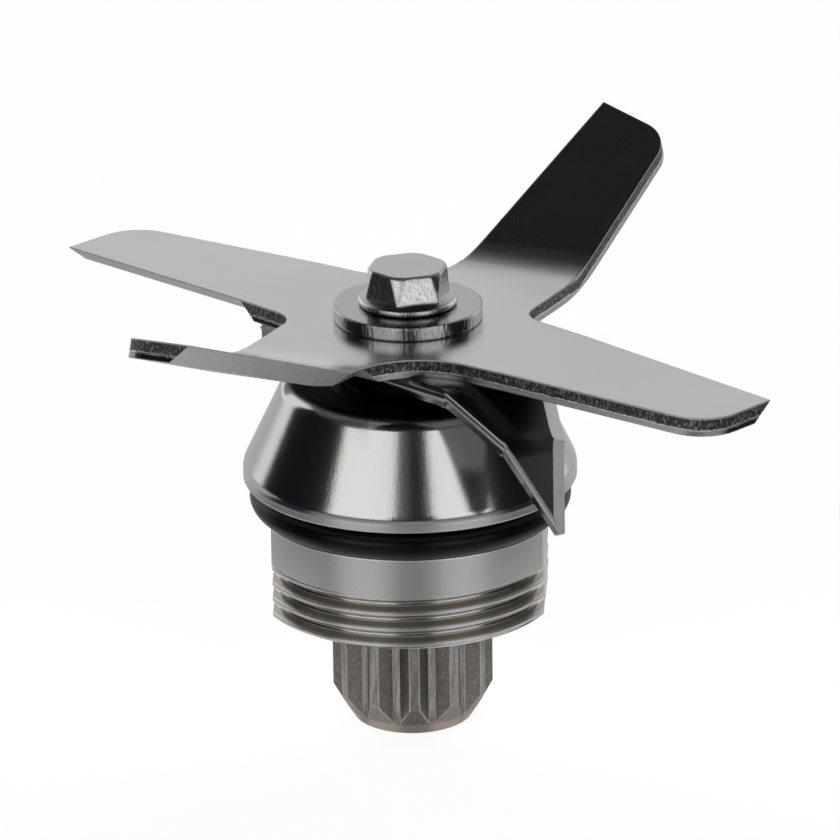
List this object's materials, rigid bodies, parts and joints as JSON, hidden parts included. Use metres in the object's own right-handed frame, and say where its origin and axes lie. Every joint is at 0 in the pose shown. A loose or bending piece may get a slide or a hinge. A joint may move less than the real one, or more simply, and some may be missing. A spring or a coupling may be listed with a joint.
{
  "type": "blender blade assembly",
  "caption": "Blade assembly for a jug blender: bent and level cutting arms on a spindle in a sealed steel bearing housing, with a splined drive below.",
  "frame": {"origin": "middle of the drive's flat lower end, on the spin axis", "axes": "+Z along the spin axis, up into the jug; +X square to one of the housing's two flats"},
  "size_m": [0.0776, 0.0796, 0.057],
  "materials": {
    "bolt_steel": "bright turned stainless steel",
    "blade_steel": "satin cold-rolled stainless sheet with ground edges",
    "spindle_steel": "ground stainless steel",
    "housing_steel": "polished turned stainless steel",
    "black_rubber": "smooth black moulded rubber",
    "spring_steel": "dark phosphated spring steel",
    "bearing_steel": "ground and polished bearing steel",
    "cage_nylon": "moulded natural nylon",
    "sintered_steel": "sintered steel, oiled, with bright rubbed tooth lands"
  },
  "bodies": {
    "housing": {"bearing_housing": "housing_steel", "housing_o_ring": "black_rubber", "seal_case": "spindle_steel", "seal_lip": "black_rubber", "garter_spring": "spring_steel", "upper_outer_ring": "bearing_steel", "upper_top_shield": "spindle_steel", "upper_bottom_shield": "spindle_steel", "lower_outer_ring": "bearing_steel", "lower_top_shield": "spindle_steel", "lower_bottom_shield": "spindle_steel", "preload_spring": "spring_steel", "retaining_ring": "spring_steel"},
    "rotor": {"spindle": "spindle_steel", "upper_blade": "blade_steel", "lower_blade": "blade_steel", "clamp_washer": "bolt_steel", "blade_bolt": "bolt_steel", "upper_inner_ring": "bearing_steel", "lower_inner_ring": "bearing_steel", "bearing_spacer": "spindle_steel", "drive_spline": "sintered_steel"},
    "upper_ball_set": {"upper_cage": "cage_nylon", "upper_ball_1": "bearing_steel", "upper_ball_2": "bearing_steel", "upper_ball_3": "bearing_steel", "upper_ball_4": "bearing_steel", "upper_ball_5": "bearing_steel", "upper_ball_6": "bearing_steel", "upper_ball_7": "bearing_steel"},
    "lower_ball_set": {"lower_cage": "cage_nylon", "lower_ball_1": "bearing_steel", "lower_ball_2": "bearing_steel", "lower_ball_3": "bearing_steel", "lower_ball_4": "bearing_steel", "lower_ball_5": "bearing_steel", "lower_ball_6": "bearing_steel", "lower_ball_7": "bearing_steel"}
  },
  "joints": [
    {"name": "blade_spin", "type": "hinge", "parent": "housing", "child": "rotor", "pos_m": [0, 0, 0.03], "axis": [0, 0, 1], "continuous": true},
    {"name": "upper_cage_spin", "type": "hinge", "parent": "housing", "child": "upper_ball_set", "pos_m": [0, 0, 0.0305], "axis": [0, 0, 1], "continuous": true},
    {"name": "lower_cage_spin", "type": "hinge", "parent": "housing", "child": "lower_ball_set", "pos_m": [0, 0, 0.0207], "axis": [0, 0, 1], "continuous": true}
  ],
  "couplings": [
    {"joint": "upper_cage_spin", "follows": "blade_spin", "ratio": 0.36773},
    {"joint": "lower_cage_spin", "follows": "blade_spin", "ratio": 0.36773}
  ]
}
